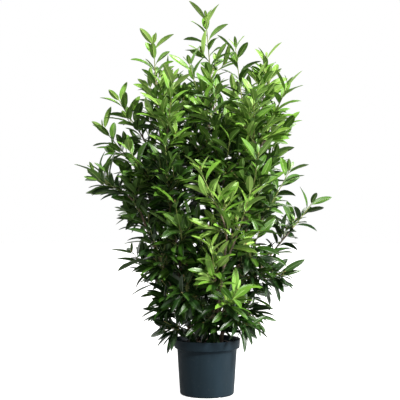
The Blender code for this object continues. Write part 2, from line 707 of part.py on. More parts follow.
def make_masses(leaders, spaces, obstacles, surface):
    """One solid for each mass: its leader and twigs with their leaves fused on."""
    for mass in MASSES:
        obstacles.add(*tube(leaders[mass.name], TWIG_SIDES), owner=mass.name)
    twigs = grow_twigs(leaders, spaces, obstacles)
    total = 0
    for mass in MASSES:
        leader = leaders[mass.name]
        pieces = grow_leaves(mass, mass.name, leader, LEADER_LEAFY, spaces, obstacles)
        total += len(pieces)
        for name, twig in twigs[mass.name]:
            leaves = grow_leaves(mass, name, twig, TWIG_LEAFY, spaces, obstacles)
            if len(leaves) >= FEWEST_LEAVES:
                pieces += [tube(twig, TWIG_SIDES)] + leaves
                total += len(leaves)
        made = solid(mass.name, *tube(leader, TWIG_SIDES), surface)
        fuse(made, pieces, surface)
    print(f"{total} leaves in {len(MASSES)} masses")


def main():
    for old in list(bpy.data.objects):
        bpy.data.objects.remove(old)
    plastic = material("pot_plastic", (0.030, 0.042, 0.052), 0.45)
    peat = material("potting_soil", (0.030, 0.018, 0.011), 0.95)
    bark = material("bark", (0.16, 0.10, 0.055), 0.8)
    foliage = material("foliage", (0.075, 0.20, 0.030), 0.45)
    pot = make_pot(plastic)
    soil = turned("soil", soil_profile(), peat)
    axes, leaders, stubs = make_limbs(bark)
    obstacles = Obstacles()
    for made in (pot, soil):
        mesh = made.data
        obstacles.add([v.co.copy() for v in mesh.vertices], [tuple(p.vertices) for p in mesh.polygons], owner=made.name)
    for limb in LIMBS:
        obstacles.add(*tube(axes[limb.name], STEM_SIDES), owner=limb.name)
    for found in stubs.values():
        for stub in found:
            obstacles.add(*tube(stub, TWIG_SIDES), owner="stub")
    make_masses(leaders, Spaces(leaders), obstacles, foliage)


main()
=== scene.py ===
"""The dressed cherry laurel: bark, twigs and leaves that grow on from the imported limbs, in a moulded pot.

The limbs and masses are those of the solids and grow by the same rule. It is carried on here to finer twigs
and to closer-set leaves at life size. Metres, +Z up, with the origin under the middle of the pot.
"""

import itertools
import json
import math
import random
from collections import namedtuple

import bmesh
import bpy
from mathutils import Matrix, Vector, noise
from mathutils.bvhtree import BVHTree
from mathutils.kdtree import KDTree

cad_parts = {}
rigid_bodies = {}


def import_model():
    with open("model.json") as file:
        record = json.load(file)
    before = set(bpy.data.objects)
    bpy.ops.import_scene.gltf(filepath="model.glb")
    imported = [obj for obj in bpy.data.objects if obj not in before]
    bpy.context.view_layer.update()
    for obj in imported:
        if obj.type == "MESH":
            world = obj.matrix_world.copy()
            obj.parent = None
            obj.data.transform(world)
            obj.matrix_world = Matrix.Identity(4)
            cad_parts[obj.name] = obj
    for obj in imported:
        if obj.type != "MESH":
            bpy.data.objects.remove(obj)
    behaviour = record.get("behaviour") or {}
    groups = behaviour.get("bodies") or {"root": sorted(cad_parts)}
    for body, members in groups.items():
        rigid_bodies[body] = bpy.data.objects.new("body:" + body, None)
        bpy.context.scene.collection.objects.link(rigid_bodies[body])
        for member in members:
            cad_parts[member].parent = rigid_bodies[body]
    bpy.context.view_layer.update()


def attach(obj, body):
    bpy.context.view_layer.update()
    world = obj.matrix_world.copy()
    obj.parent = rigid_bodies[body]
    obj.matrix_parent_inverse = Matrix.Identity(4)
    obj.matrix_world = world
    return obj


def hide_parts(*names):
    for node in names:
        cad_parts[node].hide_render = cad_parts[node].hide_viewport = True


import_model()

UP = Vector((0, 0, 1))
GOLDEN_ANGLE = math.radians(137.5)
TRY_ANGLE = math.radians(35)
MOST_TRIANGLES = 180000

# The pot
POT_HEIGHT = 0.219
RIM_RADIUS = 0.132
RIM_BAND_HEIGHT = 0.035
RIM_BAND_TAPER = 0.003
BODY_TOP_RADIUS = 0.1185
FOOT_RADIUS = 0.107
FOOT_ROUNDING = 0.008
WALL = 0.0025
CENTRE_PAD_RADIUS = 0.030
FOOT_RING_WIDTH = 0.010
RECESS_HEIGHT = 0.004
FLOOR_THICKNESS = 0.003
BAND_FOOT = POT_HEIGHT - RIM_BAND_HEIGHT
BAND_RADIUS = RIM_RADIUS - RIM_BAND_TAPER
RIM_INSIDE = BAND_RADIUS - WALL
FOOT_FLAT = FOOT_RADIUS - FOOT_ROUNDING
FLOOR_TOP = RECESS_HEIGHT + FLOOR_THICKNESS
POT_SIDES = 128
POT_SHARP = 34
DRAIN_HOLES = 4
DRAIN_HOLE_RADIUS = 0.006
DRAIN_NOTCHES = 4
NOTCH_SIZE = (0.036, 0.012, 0.007)

# The soil in it
SOIL_TOP = 0.203
SOIL_EDGE = 0.196
SOIL_FLAT_RADIUS = 0.072
SOIL_SIDES = 120
SOIL_RINGS = 30
SOIL_RELIEF = 0.0022
CLODS = 90
CRUMBS = 420

# Limbs
LIMB_SIDES = 24
LIMB_STEP = 0.008
SUNK_FOOT = 0.006
BOUGH_RUN = 0.09
FLARE_SHARE = 0.7
FLARE_REACH = 0.007
COLLAR_SHARE = 0.35
COLLAR_REACH = 0.016
STUB_LENGTH = 0.005
GAP = 0.0003
BARK_RIDGE = 0.09
FINE_BARK = 0.035
NODE_SPACING = 0.026
SCAR_LENGTH = 0.0035

# Where a shoot leaves its parent: how far it keeps to its parent's way, and turns out from it at the least
KEPT_WAY = 0.75
LEAST_OUTWARD = 0.25

# The shoots of a mass
LEADER_SEGMENTS = 16
TWIG_SEGMENTS = 8
LEADER_SIDES = 10
TWIG_SIDES = 7
LEADER_RADIUS = 0.0036
TWIG_RADIUS = 0.0021
SPRIG_RADIUS = 0.0015
TIP_RADIUS = 0.0011
LEADER_RISE = 0.15
TWIG_RISE = 0.5
TWIG_OPENING = (28, 48)
TWIGS_FROM = 0.08
SPRIGS_FROM = 0.06
TWIGGY_SHARE = 0.50
TWIG_CLEARANCE = 0.003
TWIG_TRIES = 6
SPRIG_TRIES = 5
TWIG_SPRIG_SPACING = 0.050
LEADER_SPRIG_SPACING = 0.024
SPRIG_SHARE = 0.75
BROWN_SHARE = 0.45
BUD_OUTLINE = ((0.0, 1.1), (0.002, 1.7), (0.005, 1.6), (0.008, 0.9), (0.0105, 0.2))

# The finer twigs on the limbs themselves
LIMB_SPRIG_SPACING = 0.032
LIMB_SPRIG_LENGTH = 0.085
LIMB_SPRIGS_FROM = 0.235
# Their leaves take a dark tone, which is in part painted shade for the inside of the crown.
LIMB_SPRIG_TONE = 0.80

# Leaves
LEAF_LENGTH = 0.108
LEAF_WIDTH = 0.0300
LEAF_SPACING = 0.0200
LEAF_TRIES = 5
LEAF_THICKNESS = 0.0015
LEAF_OUTLINE = (
    (0.00, 0.085), (0.08, 0.090), (0.17, 0.54), (0.31, 0.90),
    (0.48, 1.00), (0.65, 0.95), (0.81, 0.71), (0.93, 0.34),
)
HALFWAY_OUT = 0.55
BLADE_SWELL = 0.10
EDGE_WAVE = 0.03
RIB_WIDTH = 0.0024
YOUNG_SIZES = (0.42, 0.62, 0.94)
FIRST_LEAF = 0.12
TIP_CROWDING = 0.25
AGEING_LENGTH = 0.12
LEADER_LEAFY = 0.85
TWIG_LEAFY = 0.92

# Leaves open wider and bend more with age, and open less so high in the crown. Angles are in degrees.
YOUNG_OPENING = 36
OLD_OPENING = 60
RISING = 0.40
FULLY_HIGH = 1.2
YOUNG_BEND = 10
OLD_BEND = 36
TWIST = 14
ROLL = 22
HANGING_ROLL = 10

# High in the crown the leaves of young shoots lift. On level shoots leaves turn out to the sides.
LIFT = 0.65
OLD_DROP = 0.7
LEVELLING = 0.5

# Leaves low in the crown hang and are narrower, but for those of young shoots. They hang less at each further
# try for room, and leave the pot's rim clear in front and behind.
HANGING_BELOW = 0.70
HANGING_FULLY = 0.35
HANGING_TONE = 0.65
HANGING_NARROWER = 0.25
EASING = 0.2
RIM_CLEAR = 0.228

# A spray's tone strays from its mass's, and its leaves darken with age.
SPRAY_SPREAD = 0.07
AGEING_TONE = 0.40
MIDDLE_AGE = 0.4

# The studio
SKY_LIGHT = 0.025
FLOOR_GLOW = 0.92
FLOOR_RADIUS = 14
FLOOR_HEIGHT = -0.0006
FLOOR_SIDES = 64
VIEWPOINT = (-0.0277, -4.05, 0.766)
LENS = 92.14
LIT_POINT = Vector((0, 0, 0.85))

# A mass's space is what lies nearer to its main shoot than to any other's, with heights counted for less.
HEIGHT_WEIGHT = 0.75
SPACE_POINTS = 5
CELL = 0.07

Limb = namedtuple("Limb", "name parent at start knee tip radius")
Mass = namedtuple("Mass", "name limb at tip spread twigs tone")
Shoot = namedtuple("Shoot", "name owner node axis tone spread")
Leaf = namedtuple("Leaf", "root direction normal length width bend twist fold")

# A stem starts at a foot on the soil. A bough starts on its parent, at that share of the parent's length.
LIMBS = (
    Limb("stem_centre", None, 0, (0.022, 0.000), (0.075, -0.005, 0.66), (0.030, 0.015, 1.10), 0.0085),
    Limb("stem_left", None, 0, (-0.036, -0.004), (-0.085, 0.010, 0.62), (-0.215, 0.015, 0.94), 0.0080),
    Limb("stem_right", None, 0, (0.052, -0.020), (0.150, -0.020, 0.56), (0.205, -0.030, 0.96), 0.0080),
    Limb("stem_back", None, 0, (-0.006, 0.046), (-0.070, 0.120, 0.60), (-0.110, 0.160, 0.98), 0.0078),
    Limb("bough_left_tall", "stem_left", 0.10, None, (-0.150, -0.070, 0.70), (-0.190, -0.045, 1.08), 0.0060),
    Limb("bough_left_wide", "stem_left", 0.16, None, (-0.150, 0.060, 0.58), (-0.255, 0.055, 0.84), 0.0056),
    Limb("bough_left_mid", "stem_left", 0.05, None, (-0.175, -0.060, 0.50), (-0.260, -0.055, 0.72), 0.0058),
    Limb("bough_left_low", "stem_left", 0.02, None, (-0.120, 0.010, 0.34), (-0.195, 0.030, 0.44), 0.0050),
    Limb("bough_right_tall", "stem_centre", 0.08, None, (0.150, 0.070, 0.64), (0.215, 0.090, 1.06), 0.0062),
    Limb("bough_right_wide", "stem_right", 0.05, None, (0.170, 0.030, 0.44), (0.265, 0.040, 0.56), 0.0056),
    Limb("bough_front", "stem_centre", 0.04, None, (0.045, -0.185, 0.37), (0.070, -0.225, 0.60), 0.0056),
    Limb("bough_back_right", "stem_back", 0.06, None, (0.110, 0.150, 0.54), (0.130, 0.190, 0.90), 0.0060),
)

# A mass grows from its limb to its tip. Its spread is the length of its longest side twig.
# Its tone runs from 0, young and pale, to 1, old and dark. It also paints light and shade into the leaves:
# the pale tones high on the right are in part painted light shining through the leaves, and the dark tones
# low and inside the crown are in part painted shade.
MASSES = (
    Mass("mass_top", "stem_centre", 1.00, (-0.004, 0.010, 1.486), 0.08, 2, 0.20),
    Mass("mass_top_inner", "stem_centre", 0.86, (-0.070, -0.040, 1.300), 0.10, 3, 0.36),
    Mass("mass_top_right", "bough_right_tall", 0.80, (0.112, 0.010, 1.375), 0.10, 3, 0.20),
    Mass("mass_right_top", "bough_right_tall", 1.00, (0.240, 0.100, 1.345), 0.10, 3, 0.16),
    Mass("mass_right_crest", "bough_right_tall", 0.90, (0.312, -0.100, 1.210), 0.07, 2, 0.20),
    Mass("mass_left_top", "bough_left_tall", 1.00, (-0.210, -0.030, 1.385), 0.07, 2, 0.30),
    Mass("mass_left_front_top", "bough_left_tall", 0.80, (-0.130, -0.180, 1.215), 0.10, 3, 0.24),
    Mass("mass_front_top", "stem_centre", 0.76, (0.030, -0.180, 1.190), 0.12, 3, 0.44),
    Mass("mass_right_front_top", "stem_right", 0.86, (0.175, -0.190, 1.165), 0.12, 3, 0.26),
    Mass("mass_left_upper", "stem_left", 1.00, (-0.350, 0.015, 1.165), 0.07, 2, 0.50),
    Mass("mass_left_front", "stem_left", 0.72, (-0.300, -0.150, 0.960), 0.09, 3, 0.52),
    Mass("mass_left_heart", "bough_left_tall", 0.50, (-0.160, -0.200, 0.985), 0.13, 4, 0.72),
    Mass("mass_left_shoulder", "bough_left_wide", 1.00, (-0.418, 0.065, 1.060), 0.06, 2, 0.54),
    Mass("mass_left_back", "bough_left_wide", 0.66, (-0.270, 0.260, 0.860), 0.14, 4, 0.70),
    Mass("mass_left_reach", "bough_left_mid", 1.00, (-0.445, -0.040, 0.880), 0.09, 3, 0.66),
    Mass("mass_left_inner", "bough_left_mid", 0.66, (-0.300, -0.010, 0.800), 0.07, 2, 0.66),
    Mass("mass_left_mid", "bough_left_mid", 0.42, (-0.215, -0.190, 0.655), 0.08, 3, 0.76),
    Mass("mass_left_low", "bough_left_low", 1.00, (-0.300, 0.050, 0.560), 0.05, 2, 0.84),
    Mass("mass_left_foot", "bough_left_low", 0.42, (-0.165, -0.050, 0.365), 0.09, 3, 0.92),
    Mass("mass_left_skirt", "bough_left_low", 0.14, (-0.160, -0.100, 0.295), 0.08, 3, 0.98),
    Mass("mass_right_upper", "stem_right", 1.00, (0.315, -0.070, 1.060), 0.07, 3, 0.30),
    Mass("mass_right_shoulder", "bough_right_tall", 0.64, (0.290, 0.120, 1.020), 0.10, 3, 0.40),
    Mass("mass_right_front", "stem_right", 0.56, (0.190, -0.240, 0.935), 0.12, 4, 0.50),
    Mass("mass_right_mid", "stem_right", 0.50, (0.318, -0.090, 0.880), 0.06, 2, 0.42),
    Mass("mass_right_reach", "bough_right_wide", 1.00, (0.422, 0.060, 0.755), 0.06, 2, 0.70),
    Mass("mass_right_low", "bough_right_wide", 0.62, (0.300, -0.050, 0.485), 0.07, 2, 0.86),
    Mass("mass_right_foot", "bough_right_wide", 0.26, (0.175, 0.030, 0.325), 0.08, 3, 0.94),
    Mass("mass_right_skirt", "stem_right", 0.12, (0.148, -0.110, 0.290), 0.08, 3, 0.98),
    Mass("mass_heart", "stem_centre", 0.60, (0.085, -0.190, 1.000), 0.12, 4, 0.56),
    Mass("mass_centre_front", "bough_front", 1.00, (-0.026, -0.290, 0.880), 0.09, 3, 0.20),
    Mass("mass_front_right", "bough_front", 0.80, (0.160, -0.270, 0.800), 0.06, 2, 0.18),
    Mass("mass_front_low", "bough_front", 0.50, (0.014, -0.285, 0.600), 0.07, 2, 0.20),
    Mass("mass_front_foot", "bough_front", 0.26, (0.112, -0.230, 0.430), 0.05, 2, 0.30),
    Mass("mass_front_skirt", "stem_centre", 0.10, (-0.015, -0.150, 0.300), 0.08, 2, 0.94),
    Mass("mass_right_heart", "stem_right", 0.30, (0.195, -0.180, 0.640), 0.11, 3, 0.76),
    Mass("mass_front_left", "stem_left", 0.32, (-0.120, -0.270, 0.760), 0.12, 4, 0.62),
    Mass("mass_front_left_foot", "stem_left", 0.20, (-0.095, -0.230, 0.420), 0.11, 3, 0.86),
    Mass("mass_core", "stem_centre", 0.26, (-0.045, -0.170, 0.670), 0.11, 4, 0.82),
    Mass("mass_core_top", "stem_centre", 0.68, (-0.060, -0.080, 1.090), 0.14, 4, 0.70),
    Mass("mass_centre_back", "stem_centre", 0.58, (0.030, 0.310, 0.930), 0.15, 4, 0.56),
    Mass("mass_back_top", "stem_back", 1.00, (-0.120, 0.220, 1.235), 0.14, 4, 0.42),
    Mass("mass_back_left_low", "stem_back", 0.34, (-0.190, 0.270, 0.520), 0.14, 4, 0.84),
    Mass("mass_back_foot", "stem_back", 0.16, (-0.020, 0.230, 0.345), 0.12, 3, 0.94),
    Mass("mass_back_right_top", "bough_back_right", 1.00, (0.130, 0.250, 1.170), 0.14, 4, 0.38),
    Mass("mass_back_right", "bough_back_right", 0.66, (0.270, 0.280, 0.780), 0.15, 4, 0.58),
    Mass("mass_back_right_low", "bough_back_right", 0.34, (0.160, 0.270, 0.490), 0.14, 3, 0.84),
)

# Which way a shoot's first leaf points, in degrees round the shoot. Where none is given it points anywhere.
FIRST_TURNS = {
    "mass_top": 85,
    "mass_left_top": 120,
    "mass_top_inner": 310,
    "mass_right_crest": 275,
    "mass_left_upper": 285,
    "mass_left_shoulder": 250,
}

# Leaf shades from the youngest to the oldest: the colour above, the colour of the rib, the colour below, and
# the roughness above. A shade's pieces are dealt out by spray. Besides age, the shades paint light and shade:
# the palest stand in part for leaves with light shining through them, the darkest in part for leaves in
# shade.
Shade = namedtuple("Shade", "name above rib below roughness")
SHADES = (
    Shade("young", (0.170, 0.312, 0.042), (0.42, 0.55, 0.15), (0.185, 0.310, 0.060), 0.46),
    Shade("bright", (0.135, 0.290, 0.030), (0.36, 0.49, 0.13), (0.140, 0.260, 0.042), 0.42),
    Shade("fresh", (0.082, 0.190, 0.018), (0.25, 0.38, 0.09), (0.086, 0.176, 0.026), 0.37),
    Shade("mid", (0.043, 0.112, 0.010), (0.16, 0.25, 0.06), (0.048, 0.106, 0.016), 0.34),
    Shade("deep", (0.018, 0.055, 0.005), (0.09, 0.16, 0.045), (0.026, 0.060, 0.010), 0.33),
    Shade("old", (0.007, 0.027, 0.003), (0.05, 0.095, 0.030), (0.013, 0.036, 0.007), 0.33),
)


# Shapes of shoots

class Axis:
    """A limb, leader or twig: the points of its centre line, with its radius and its first side at each."""

    def __init__(self, points, radii, level_foot=False):
        self.points = points
        self.radii = radii
        steps = [(b - a).length for a, b in zip(points, points[1:])]
        self.length = sum(steps)
        self.shares = [done / self.length for done in itertools.accumulate(steps, initial=0)]
        self.directions = []
        self.sides = []
        for i in range(len(points)):
            direction = (points[min(i + 1, len(points) - 1)] - points[max(i - 1, 0)]).normalized()
            if i == 0 and level_foot:
                direction = UP
            side = self.sides[-1] if self.sides else across(direction)
            self.directions.append(direction)
            self.sides.append((side - direction * side.dot(direction)).normalized())

    def at(self, share):
        """The point, direction, radius and first side at a share of the length."""
        i = max(k for k in range(len(self.points) - 1) if self.shares[k] <= share or k == 0)
        part = (share - self.shares[i]) / (self.shares[i + 1] - self.shares[i])
        along = (self.points[i + 1] - self.points[i]).normalized()
        side = self.sides[i].lerp(self.sides[i + 1], part)
        side = (side - along * side.dot(along)).normalized()
        radius = self.radii[i] + (self.radii[i + 1] - self.radii[i]) * part
        return self.points[i].lerp(self.points[i + 1], part), along, radius, side


def across(direction):
    """A direction square to this one."""
    reference = UP if abs(direction.z) < 0.9 else Vector((0, 1, 0))
    return direction.cross(reference).normalized()


def swung(first, second, angle):
    """The first direction, turned by an angle towards the second."""
    return first * math.cos(angle) + second * math.sin(angle)


def around(radius, turn, height):
    """A point round the pot's axis."""
    return Vector((radius * math.cos(turn), radius * math.sin(turn), height))


def curve(corners, count):
    """Points along the Bezier curve with these corners."""
    found = []
    for i in range(count + 1):
        points = [Vector(c) for c in corners]
        while len(points) > 1:
            points = [a.lerp(b, i / count) for a, b in zip(points, points[1:])]
        found += points
    return found


def tapered(start_radius, end_radius, count):
    return [start_radius + (end_radius - start_radius) * i / count for i in range(count + 1)]


def skin(rings, sides, start, foot, top):
    """Faces round a stack of rings of points that begins at start, closed by a foot and a top point."""
    faces = []
    last = start + (rings - 1) * sides
    for k in range(sides):
        after = (k + 1) % sides
        faces.append((foot, start + after, start + k))
        for low in range(start, last, sides):
            faces.append((low + k, low + after, low + sides + after, low + sides + k))
        faces.append((last + k, last + after, top))
    return faces


def tube(axis, sides, grown=0.0, relief=None):
    """Points and faces of a closed tube. Relief gives a share of its radius by place and turn."""
    points = []
    rows = zip(axis.points, axis.directions, axis.sides, axis.radii, axis.shares)
    for centre, direction, first, radius, share in rows:
        second = direction.cross(first)
        for k in range(sides):
            turn = 2 * math.pi * k / sides
            out = radius + grown
            if relief:
                out *= 1 + relief(share * axis.length, turn)
            points.append(centre + out * swung(first, second, turn))
    points += [axis.points[0], axis.points[-1] + axis.directions[-1] * axis.radii[-1]]
    return points, skin(len(axis.points), sides, 0, len(points) - 2, len(points) - 1)


def leaving(parent, share, tip, radius):
    """How a shoot leaves its parent: the point in the parent's middle, the direction and its own start."""
    point, along, parent_radius, _ = parent.at(share)
    if share == 1:
        return point, along, point + along * GAP
    heading = (Vector(tip) - point).normalized()
    outward = heading - along * heading.dot(along)
    if outward.length < LEAST_OUTWARD:
        outward = outward.normalized() * LEAST_OUTWARD
    direction = (along * KEPT_WAY + outward).normalized()
    reach = (parent_radius + radius) / direction.cross(along).length + STUB_LENGTH
    return point, direction, point + direction * reach + direction * GAP


def grow_limb(limb, limbs):
    """The axis of a stem or bough. A bough starts in its parent's middle and widens to a collar there."""
    tip = Vector(limb.tip)
    if limb.parent is None:
        foot = Vector((*limb.start, SOIL_TOP + GAP))
        corners = (foot, foot.lerp(Vector(limb.knee), 0.25) + UP * 0.04, limb.knee, tip)
        before = [foot - UP * SUNK_FOOT]
        swell, fade = FLARE_SHARE, FLARE_REACH
    else:
        root, direction, foot = leaving(limbs[limb.parent], limb.at, limb.knee, limb.radius)
        corners = (foot, foot + direction * BOUGH_RUN, limb.knee, tip)
        before = [root.lerp(foot, i / 4) for i in range(4)]
        swell, fade = COLLAR_SHARE, COLLAR_REACH
    count = int((tip - foot).length / LIMB_STEP)
    points = before + curve(corners, count)
    radii = [limb.radius] * len(before) + tapered(limb.radius, LEADER_RADIUS, count)
    radii = [r * (1 + swell * math.exp(-(p - points[0]).length / fade)) for r, p in zip(radii, points)]
    return Axis(points, radii, level_foot=limb.parent is None)


def grow_leader(mass, limbs):
    """The axis of a mass's main shoot, from the middle of its limb."""
    root, direction, start = leaving(limbs[mass.limb], mass.at, mass.tip, LEADER_RADIUS)
    tip = Vector(mass.tip)
    third = (tip - start).length / 3
    heading = ((tip - start).normalized() + UP * LEADER_RISE).normalized()
    corners = (start, start + direction * third, tip - heading * third, tip)
    points = curve(corners, LEADER_SEGMENTS)
    radii = tapered(LEADER_RADIUS, TIP_RADIUS, LEADER_SEGMENTS)
    if mass.at < 1:
        points.insert(0, root)
        radii.insert(0, LEADER_RADIUS * (1 + COLLAR_SHARE))
    return Axis(points, radii)


def side_axis(seed, parent, share, turn, length, radius):
    """A twig that leaves its parent at a share and a turn, and curves up."""
    root, along, _, first = parent.at(share)
    outward = swung(first, along.cross(first), turn)
    direction = swung(along, outward, math.radians(seed.uniform(*TWIG_OPENING)))
    length *= seed.uniform(0.75, 1.1) * (1.1 - 0.4 * share)
    rising = (direction + UP * TWIG_RISE).normalized()
    middle = root + direction * length * 0.5
    corners = (root, middle, middle + rising * length * 0.5)
    return Axis(curve(corners, TWIG_SEGMENTS), tapered(radius, TIP_RADIUS, TWIG_SEGMENTS))


def turn_of(name, number, attempt):
    """A golden angle on from the last, and turned away again on each further try."""
    first = math.radians(FIRST_TURNS.get(name, random.Random(name).uniform(0, 360)))
    return GOLDEN_ANGLE * number + first + TRY_ANGLE * attempt * (-1) ** attempt


def grow_twig(mass, leader, number, attempt):
    """One side twig of a mass."""
    seed = random.Random(f"{mass.name} twig {number} {attempt}")
    share = TWIGS_FROM + TWIGGY_SHARE * (number + 0.5) / mass.twigs + seed.uniform(-0.04, 0.04)
    return side_axis(seed, leader, share, turn_of(mass.name, number, attempt), mass.spread, TWIG_RADIUS)


# Leaves

def hanging(height, tone):
    """How much the leaves of a shoot of this tone hang at this height."""
    low = min(1.0, max(0.0, (HANGING_BELOW - height) / (HANGING_BELOW - HANGING_FULLY)))
    return low * min(1.0, tone / HANGING_TONE) ** 2


def below_tip(number):
    """How far below the tip of its shoot a leaf stands. The first few are crowded there."""
    crowded = min(number, len(YOUNG_SIZES) - 1)
    return LEAF_SPACING * (FIRST_LEAF + TIP_CROWDING * crowded + number - crowded)


def age_of(number):
    """The age of a leaf, from 0 at the tip of its shoot to 1."""
    return min(1.0, below_tip(number) / AGEING_LENGTH)


def levelled(outward, level):
    """A leaf's way out from its shoot, turned to the sides where the shoot lies level."""
    return (outward - UP * outward.z * LEVELLING * level).normalized()


def grow_leaf(shoot, number, attempt):
    """One leaf of a shoot, counted from its tip. Leaves turn a golden angle from one to the next."""
    seed = random.Random(f"{shoot.name} leaf {number} {attempt}")
    axis = shoot.axis
    root, along, radius, first = axis.at(1 - below_tip(number) / axis.length)
    turn = turn_of(shoot.name, number, attempt) + math.radians(seed.uniform(-9, 9))
    level = 1 - abs(along.z)
    outward = levelled(swung(first, along.cross(first), turn), level)
    age = age_of(number)
    high = min(1.0, root.z / FULLY_HIGH)
    hang = hanging(root.z, shoot.tone) * (1 - EASING * attempt)
    open_now = YOUNG_OPENING + (OLD_OPENING - YOUNG_OPENING) * age * (1 - RISING * high)
    opening = math.radians(open_now + seed.uniform(-8, 8))
    direction = swung(along, outward, opening)
    facing = swung(-outward, along, opening)
    lift = LIFT * (1 - OLD_DROP * shoot.tone) * high * (1 - hang) * (1 - direction.z)
    direction = (direction + UP * (lift - hang * (0.3 + 0.7 * age))).normalized()
    facing += UP * (0.5 + level)
    side = direction.cross(facing).normalized()
    normal = side.cross(direction).normalized()
    normal = swung(normal, side, math.radians(seed.gauss(0, ROLL + (HANGING_ROLL - ROLL) * hang)))
    size = (YOUNG_SIZES[number] if number < len(YOUNG_SIZES) else 1.0) * seed.uniform(0.84, 1.08)
    narrow = 1 - HANGING_NARROWER * hang
    return Leaf(
        root=root + outward * radius * 0.5,
        direction=direction,
        normal=normal,
        length=LEAF_LENGTH * size,
        width=LEAF_WIDTH * size * narrow * seed.uniform(0.88, 1.12),
        bend=math.radians(YOUNG_BEND + (OLD_BEND - YOUNG_BEND) * age + seed.uniform(-4, 16)),
        twist=math.radians(seed.gauss(0, TWIST)),
        fold=seed.uniform(0.16, 0.42) / narrow,
    )


def along_leaf(leaf, share):
    """The point of the midrib at a share of its length, with the side and the normal there."""
    turned = leaf.bend * share
    run = leaf.length / leaf.bend
    point = leaf.root + leaf.direction * run * math.sin(turned) - leaf.normal * run * (1 - math.cos(turned))
    normal = swung(leaf.normal, leaf.direction, turned)
    forward = swung(leaf.direction, -leaf.normal, turned)
    normal.rotate(Matrix.Rotation(leaf.twist * share, 3, forward))
    return point, forward.cross(normal), normal


def blade(leaf):
    """A coarse flat copy of a leaf's blade, to see what it touches."""
    points = []
    for share, wide in ((0.14, 0.3), (0.36, 0.9), (0.66, 0.86), (1.0, 0.1)):
        middle, side, _ = along_leaf(leaf, share)
        half = leaf.width * wide / 2
        points += [middle - side * half, middle + side * half]
    return points, [(0, 1, 3, 2), (2, 3, 5, 4), (4, 5, 7, 6)]


def covers_rim(leaf):
    """True if a leaf hangs over the pot's rim in front or behind. It may hang inside the rim or beside it."""
    tip = along_leaf(leaf, 1.0)[0]
    return tip.z < RIM_CLEAR and abs(tip.x) < RIM_RADIUS < math.hypot(tip.x, tip.y)


# The ring of faces round a leaf: two above on each side of the rib, the rib, and the same below.
ABOVE, RIB, BELOW = 0, 1, 2
RING_SLOTS = (ABOVE, ABOVE, RIB, ABOVE, ABOVE, BELOW, RIB, RIB, BELOW)


def leaf_mesh(leaf, phase):
    """Points, faces and slots of a leaf: a stalk, then a folded blade with a rib that stands out below."""
    points, faces = [], []
    for share, wide in LEAF_OUTLINE:
        middle, side, up = along_leaf(leaf, share)
        half = leaf.width * wide / 2
        rib = min(RIB_WIDTH * (1 - 0.75 * share) / 2, half * 0.6)
        thick = LEAF_THICKNESS * (1 - 0.6 * share)
        wave = EDGE_WAVE * leaf.width * wide * math.sin(9 * share + phase)
        swell = half * (leaf.fold * HALFWAY_OUT + BLADE_SWELL)
        section = (
            (-half, half * leaf.fold + wave),
            (-half * HALFWAY_OUT, swell),
            (-rib, 0.0),
            (rib, 0.0),
            (half * HALFWAY_OUT, swell),
            (half, half * leaf.fold - wave),
            (rib * 1.2, -thick * 0.45),
            (0.0, -thick),
            (-rib * 1.2, -thick * 0.45),
        )
        points += [middle + side * x + up * z for x, z in section]
    ring, tip = len(RING_SLOTS), len(points)
    points.append(along_leaf(leaf, 1.0)[0])
    for start in range(0, tip, ring):
        for k in range(ring):
            a, b = start + k, start + (k + 1) % ring
            faces.append((a, a + ring, b + ring, b) if start + ring < tip else (a, tip, b))
    faces.append(tuple(range(ring)))
    return points, faces, [*RING_SLOTS * len(LEAF_OUTLINE), RIB]


# What may not be touched

class Spaces:
    """The share of the crown that each mass keeps to."""

    def __init__(self, leaders):
        self.owners = []
        self.tree = KDTree(SPACE_POINTS * len(leaders))
        for name, axis in leaders.items():
            for i in range(SPACE_POINTS):
                self.tree.insert(self.weighed(axis.at((i + 1) / SPACE_POINTS)[0]), len(self.owners))
                self.owners.append(name)
        self.tree.balance()

    def weighed(self, point):
        return Vector((point.x, point.y, point.z * HEIGHT_WEIGHT))

    def hold(self, name, points):
        """True if every point is nearer to this mass's main shoot than to any other's."""
        return all(self.owners[self.tree.find(self.weighed(point))[1]] == name for point in points)


class Obstacles:
    """Surfaces that a twig or leaf may not touch, filed by the cells of the grid that they reach into."""

    def __init__(self):
        self.filed = {}

    def cells(self, points):
        """The cells of the box round these points."""
        spans = [(math.floor(min(values) / CELL), math.floor(max(values) / CELL)) for values in zip(*points)]
        return itertools.product(*(range(low, high + 1) for low, high in spans))

    def add(self, points, faces, owner):
        found = (BVHTree.FromPolygons(points, faces), owner)
        for cell in self.cells(points):
            self.filed.setdefault(cell, []).append(found)

    def touched(self, points, faces, own=None):
        tree = BVHTree.FromPolygons(points, faces)
        near = {id(found): found for cell in self.cells(points) for found in self.filed.get(cell, ())}
        return any(owner != own and tree.overlap(other) for other, owner in near.values())


# Meshes

class Piece:
    """A mesh in the making: its points, its faces with their slots, and the nodes that it stands for."""

    def __init__(self):
        self.points = []
        self.faces = []
        self.slots = []
        self.nodes = set()
        self.triangles = 0

    def add(self, points, faces, slots=None, node=None):
        start = len(self.points)
        self.points += points
        self.faces += [tuple(start + i for i in face) for face in faces]
        self.slots += slots or [0] * len(faces)
        self.triangles += sum(len(face) - 2 for face in faces)
        if node:
            self.nodes.add(node)

    def make(self, name, materials, slot, sharp=60):
        mesh = bpy.data.meshes.new(name)
        mesh.from_pydata(self.points, [], self.faces)
        for material in materials:
            mesh.materials.append(material)
        mesh.polygons.foreach_set("material_index", self.slots)
        mesh.update()
        return dress(name, mesh, self.nodes, sharp)


def shown(name, data):
    """A new object in the scene."""
    made = bpy.data.objects.new(name, data)
    bpy.context.scene.collection.objects.link(made)
    return made


def dress(name, mesh, nodes, sharp):
    """Shows a mesh as a piece of the plant or pot, smooth but for its sharp edges."""
    mesh.shade_smooth()
    mesh.set_sharp_from_angle(angle=math.radians(sharp))
    made = shown(name, mesh)
    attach(made, "root")
    if nodes:
        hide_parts(*sorted(nodes))
    return made


